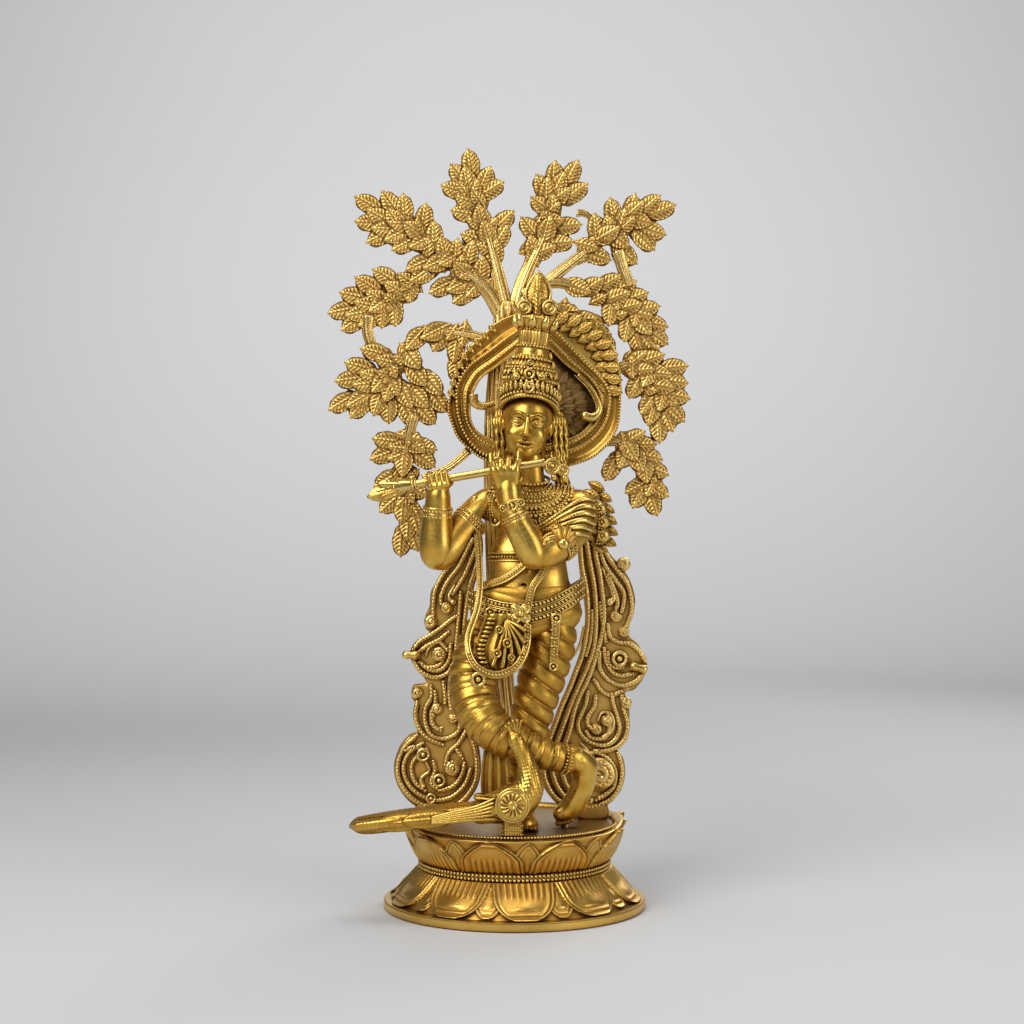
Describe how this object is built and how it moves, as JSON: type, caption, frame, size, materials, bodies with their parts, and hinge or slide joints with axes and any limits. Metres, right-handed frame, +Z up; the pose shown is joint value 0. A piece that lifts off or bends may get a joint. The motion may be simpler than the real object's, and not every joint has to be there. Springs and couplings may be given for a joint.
{
  "type": "hindu deity statue",
  "caption": "Cast brass flute-player figure with crossed legs and a peacock, under a leafy tree with an ogee arch, on a round double-lotus pedestal.",
  "frame": {"origin": "centre of the pedestal's round underside, on the surface it stands on", "axes": "+Z up, the figure faces -Y, +X to the onlooker's right"},
  "size_m": [0.1864, 0.1304, 0.3832],
  "materials": {
    "skin_brass": "smooth polished antique brass, brown in the hollows",
    "cast_brass": "cast antique brass with engraved folds, dark patina in the grooves",
    "ornament_brass": "beaded polished brass with dark brown patina between the beads",
    "leaf_brass": "granular cast brass leaves, bright edges and dark veins",
    "pedestal_brass": "satin antique brass",
    "dark_bronze": "dull dark bronze patina",
    "flute_brass": "polished brass rod",
    "fastener_brass": "turned brass"
  },
  "bodies": {
    "statue": {"base_foot": "pedestal_brass", "lower_lotus": "pedestal_brass", "bead_collar": "ornament_brass", "upper_lotus": "pedestal_brass", "platform_plate": "dark_bronze", "mount_studs": "fastener_brass", "mount_washers": "fastener_brass", "mount_nuts": "fastener_brass", "tree_trunk": "leaf_brass", "arch_ring": "cast_brass", "arch_curls": "ornament_brass", "arch_leaf_panel": "dark_bronze", "arch_rivets": "fastener_brass", "spray_a": "leaf_brass", "spray_b": "leaf_brass", "spray_c": "leaf_brass", "spray_d": "leaf_brass", "spray_e": "leaf_brass", "spray_f": "leaf_brass", "spray_f_lower": "leaf_brass", "spray_g": "leaf_brass", "spray_g_lower": "leaf_brass", "spray_h": "leaf_brass", "spray_i": "leaf_brass", "left_scarf": "cast_brass", "right_scarf": "cast_brass", "scarf_clips": "ornament_brass", "standing_leg": "cast_brass", "standing_foot": "skin_brass", "crossed_leg": "cast_brass", "crossed_foot": "skin_brass", "pleat_fall": "cast_brass", "hips": "cast_brass", "torso": "skin_brass", "apron_panel": "cast_brass", "front_sash": "ornament_brass", "belt": "ornament_brass", "necklaces": "ornament_brass", "shoulder_tassel": "ornament_brass", "left_upper_arm": "skin_brass", "left_forearm": "skin_brass", "left_hand": "skin_brass", "right_upper_arm": "skin_brass", "right_forearm": "skin_brass", "right_hand": "skin_brass", "armlets": "ornament_brass", "bracelets": "ornament_brass", "head": "skin_brass", "hair": "cast_brass", "earrings": "ornament_brass", "diadem": "ornament_brass", "crown": "ornament_brass", "crown_finial": "ornament_brass", "peacock_perch": "cast_brass", "peacock_body": "cast_brass", "peacock_wings": "ornament_brass", "peacock_tail": "cast_brass"},
    "flute": {"flute": "flute_brass"}
  },
  "joints": [
    {"name": "flute_slide", "type": "slide", "parent": "statue", "child": "flute", "axis": [-0.9857, 0, -0.1685], "range_m": [0, 0.05]}
  ]
}
